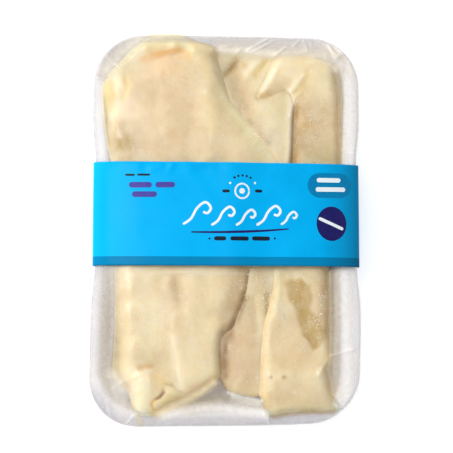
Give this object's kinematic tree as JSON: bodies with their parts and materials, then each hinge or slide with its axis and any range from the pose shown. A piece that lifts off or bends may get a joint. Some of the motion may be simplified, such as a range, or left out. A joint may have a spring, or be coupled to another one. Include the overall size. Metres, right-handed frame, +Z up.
{
  "type": "packed salt cod tray",
  "caption": "Salt cod pieces in a white foam tray, sealed in stretched clear film, with a blue paper sleeve round the middle.",
  "frame": {"origin": "centre of the pack's outline on the surface that it rests on, under the sleeve's flat base", "axes": "+X across the pack, +Y along its length towards the picture's upper edge, +Z up"},
  "size_m": [0.1454, 0.2104, 0.0346],
  "materials": {
    "foam": "white expanded polystyrene foam, softly shiny",
    "cod": "moist cream fish flesh",
    "film": "thin clear stretched film, glossy",
    "sleeve": "glossy printed sky blue paper"
  },
  "bodies": {
    "root": {"tray": "foam", "cod_left": "cod", "cod_middle": "cod", "cod_right": "cod", "film": "film", "sleeve": "sleeve"}
  },
  "joints": []
}
